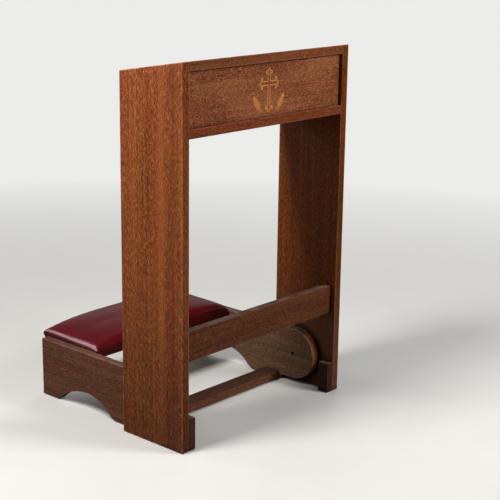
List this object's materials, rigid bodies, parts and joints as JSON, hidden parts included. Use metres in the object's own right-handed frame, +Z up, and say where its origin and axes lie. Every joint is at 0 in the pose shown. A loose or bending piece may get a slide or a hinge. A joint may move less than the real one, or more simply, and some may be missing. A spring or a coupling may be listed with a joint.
{
  "type": "folding kneeler",
  "caption": "Wooden kneeler with a sloped desk, open book shelf and recessed front panel; a padded kneeling frame on shaped arms folds up between its side panels.",
  "frame": {"origin": "on the floor, at the middle of the whole footprint with the kneeling frame down", "axes": "+Z up, X across with +X on the right seen from the front panel, the front panel faces -Y, the kneeling frame lies towards +Y"},
  "size_m": [0.546, 0.52, 0.8507],
  "materials": {
    "walnut": "satin lacquer over brown stain",
    "walnut_frame": "satin lacquer over brown stain",
    "beech": "bare",
    "plywood": "bare",
    "burgundy_vinyl": "grained, semi-gloss",
    "dark_steel": "blackened",
    "zinc_steel": "zinc plated",
    "brass": "as turned",
    "nylon": "moulded",
    "gilt_line": "gold-filled engraving"
  },
  "bodies": {
    "stand": {"left_side_panel": "walnut", "right_side_panel": "walnut", "desk_top": "walnut", "front_panel": "walnut", "book_shelf": "walnut", "mid_rail": "walnut", "left_foot_block": "walnut", "right_foot_block": "walnut", "left_desk_dowel_1": "beech", "left_desk_dowel_2": "beech", "right_desk_dowel_1": "beech", "right_desk_dowel_2": "beech", "left_shelf_dowel_1": "beech", "left_shelf_dowel_2": "beech", "right_shelf_dowel_1": "beech", "right_shelf_dowel_2": "beech", "left_rail_dowel_1": "beech", "left_rail_dowel_2": "beech", "right_rail_dowel_1": "beech", "right_rail_dowel_2": "beech", "left_block_dowel_1": "beech", "left_block_dowel_2": "beech", "right_block_dowel_1": "beech", "right_block_dowel_2": "beech", "left_pivot_bolt": "dark_steel", "right_pivot_bolt": "dark_steel", "left_pivot_washer": "zinc_steel", "right_pivot_washer": "zinc_steel", "left_pivot_insert": "brass", "right_pivot_insert": "brass"},
    "kneeler": {"left_arm": "walnut_frame", "right_arm": "walnut_frame", "left_pivot_bush": "nylon", "right_pivot_bush": "nylon", "stretcher": "walnut_frame", "left_stretcher_dowel_1": "beech", "left_stretcher_dowel_2": "beech", "right_stretcher_dowel_1": "beech", "right_stretcher_dowel_2": "beech", "kneeling_pad": "burgundy_vinyl", "pad_board": "plywood", "left_cleat": "beech", "right_cleat": "beech", "left_cleat_screw_1": "zinc_steel", "left_cleat_screw_2": "zinc_steel", "right_cleat_screw_1": "zinc_steel", "right_cleat_screw_2": "zinc_steel", "left_pad_screw_1": "zinc_steel", "left_pad_screw_2": "zinc_steel", "right_pad_screw_1": "zinc_steel", "right_pad_screw_2": "zinc_steel"}
  },
  "joints": [
    {"name": "kneeler_fold", "type": "hinge", "parent": "stand", "child": "kneeler", "pos_m": [0, -0.15, 0.077], "axis": [1, 0, 0], "range_deg": [0, 93.5]}
  ]
}
